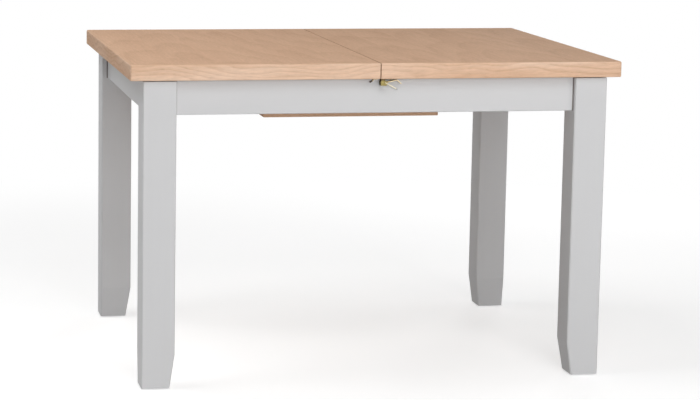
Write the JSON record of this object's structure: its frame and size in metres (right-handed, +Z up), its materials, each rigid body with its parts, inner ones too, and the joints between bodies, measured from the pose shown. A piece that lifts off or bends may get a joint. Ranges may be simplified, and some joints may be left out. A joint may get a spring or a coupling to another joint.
{
  "type": "butterfly-leaf extending dining table",
  "caption": "Four-leg painted dining table with an oak top in two halves that slide apart on rails, brass toggle catches under the overhang, and a two-wing butterfly leaf folded beneath.",
  "frame": {"origin": "on the floor, under the middle of the closed top", "axes": "+X to the right along the length, +Y to the back, +Z up"},
  "size_m": [1.2, 0.9, 0.78],
  "materials": {
    "painted_wood": "satin light grey paint on solid wood",
    "oak_top": "matt lacquered oak, grain across the table",
    "oak_lipping": "matt lacquered oak, grain along the edge",
    "hardwood": "planed, waxed hardwood",
    "steel": "zinc-plated steel",
    "brass": "aged brass plating",
    "brass_bright": "polished brass plating",
    "brass_dark": "dark aged brass wire",
    "glide": "moulded nylon",
    "felt": "pressed wool felt"
  },
  "bodies": {
    "base": {"leg_front_left": "painted_wood", "leg_front_right": "painted_wood", "leg_back_left": "painted_wood", "leg_back_right": "painted_wood", "foot_glides": "glide", "apron_front": "painted_wood", "apron_back": "painted_wood", "apron_left_end": "painted_wood", "apron_right_end": "painted_wood", "corner_plates": "steel", "leg_bolts": "steel", "leg_nuts": "steel", "guide_rail_front": "hardwood", "guide_rail_back": "hardwood", "leaf_bearer_left": "hardwood", "leaf_bearer_right": "hardwood", "bearer_angles": "steel", "leaf_pivot_pins": "steel", "leaf_pivot_spacers": "glide", "leaf_rests": "steel", "leaf_rest_pads": "felt"},
    "left_half": {"left_top_panel": "oak_top", "left_top_lipping": "oak_lipping", "left_slide_front": "hardwood", "left_slide_back": "hardwood", "catch_keeper_front": "brass_dark", "catch_keeper_back": "brass_dark"},
    "right_half": {"right_top_panel": "oak_top", "right_top_lipping": "oak_lipping", "right_slide_front": "hardwood", "right_slide_back": "hardwood", "top_locating_pins": "brass", "catch_base_front": "brass", "catch_base_back": "brass", "catch_lever_pin_front": "brass", "catch_lever_pin_back": "brass"},
    "leaf_pivot_wing": {"leaf_pivot_panel": "oak_top", "leaf_pivot_lipping": "oak_lipping", "leaf_pivot_locating_pin": "brass", "leaf_ears": "steel", "leaf_hinge_barrels_pivot": "brass", "leaf_hinge_links": "brass"},
    "leaf_folding_wing": {"leaf_folding_panel": "oak_top", "leaf_folding_lipping": "oak_lipping", "leaf_folding_locating_pin": "brass", "leaf_hinge_barrels_folding": "brass"},
    "front_catch_lever": {"catch_lever_front": "brass_bright"},
    "front_catch_bail": {"catch_bail_front": "brass_dark"},
    "back_catch_lever": {"catch_lever_back": "brass_bright"},
    "back_catch_bail": {"catch_bail_back": "brass_dark"}
  },
  "joints": [
    {"name": "left_half_slide", "type": "slide", "parent": "base", "child": "left_half", "axis": [-1, 0, 0], "range_m": [0, 0.237]},
    {"name": "right_half_slide", "type": "slide", "parent": "base", "child": "right_half", "axis": [1, 0, 0], "range_m": [0, 0.237]},
    {"name": "leaf_pivot", "type": "hinge", "parent": "base", "child": "leaf_pivot_wing", "pos_m": [0, -0.075, 0.716], "axis": [1, 0, 0], "range_deg": [0, 7.5]},
    {"name": "leaf_fold", "type": "hinge", "parent": "leaf_pivot_wing", "child": "leaf_folding_wing", "pos_m": [0, -0.15, 0.652], "axis": [1, 0, 0], "range_deg": [-6, 0]},
    {"name": "front_catch_lever_hinge", "type": "hinge", "parent": "right_half", "child": "front_catch_lever", "pos_m": [0.0065, -0.4365, 0.733], "axis": [0, 1, 0], "range_deg": [0, 90]},
    {"name": "front_catch_bail_hinge", "type": "hinge", "parent": "front_catch_lever", "child": "front_catch_bail", "pos_m": [0.012, -0.4365, 0.733], "axis": [0, 1, 0], "range_deg": [0, 56]},
    {"name": "back_catch_lever_hinge", "type": "hinge", "parent": "right_half", "child": "back_catch_lever", "pos_m": [0.0065, 0.4365, 0.733], "axis": [0, 1, 0], "range_deg": [0, 90]},
    {"name": "back_catch_bail_hinge", "type": "hinge", "parent": "back_catch_lever", "child": "back_catch_bail", "pos_m": [0.012, 0.4365, 0.733], "axis": [0, 1, 0], "range_deg": [0, 56]}
  ],
  "couplings": [
    {"joint": "leaf_fold", "follows": "leaf_pivot", "ratio": -0.8}
  ]
}
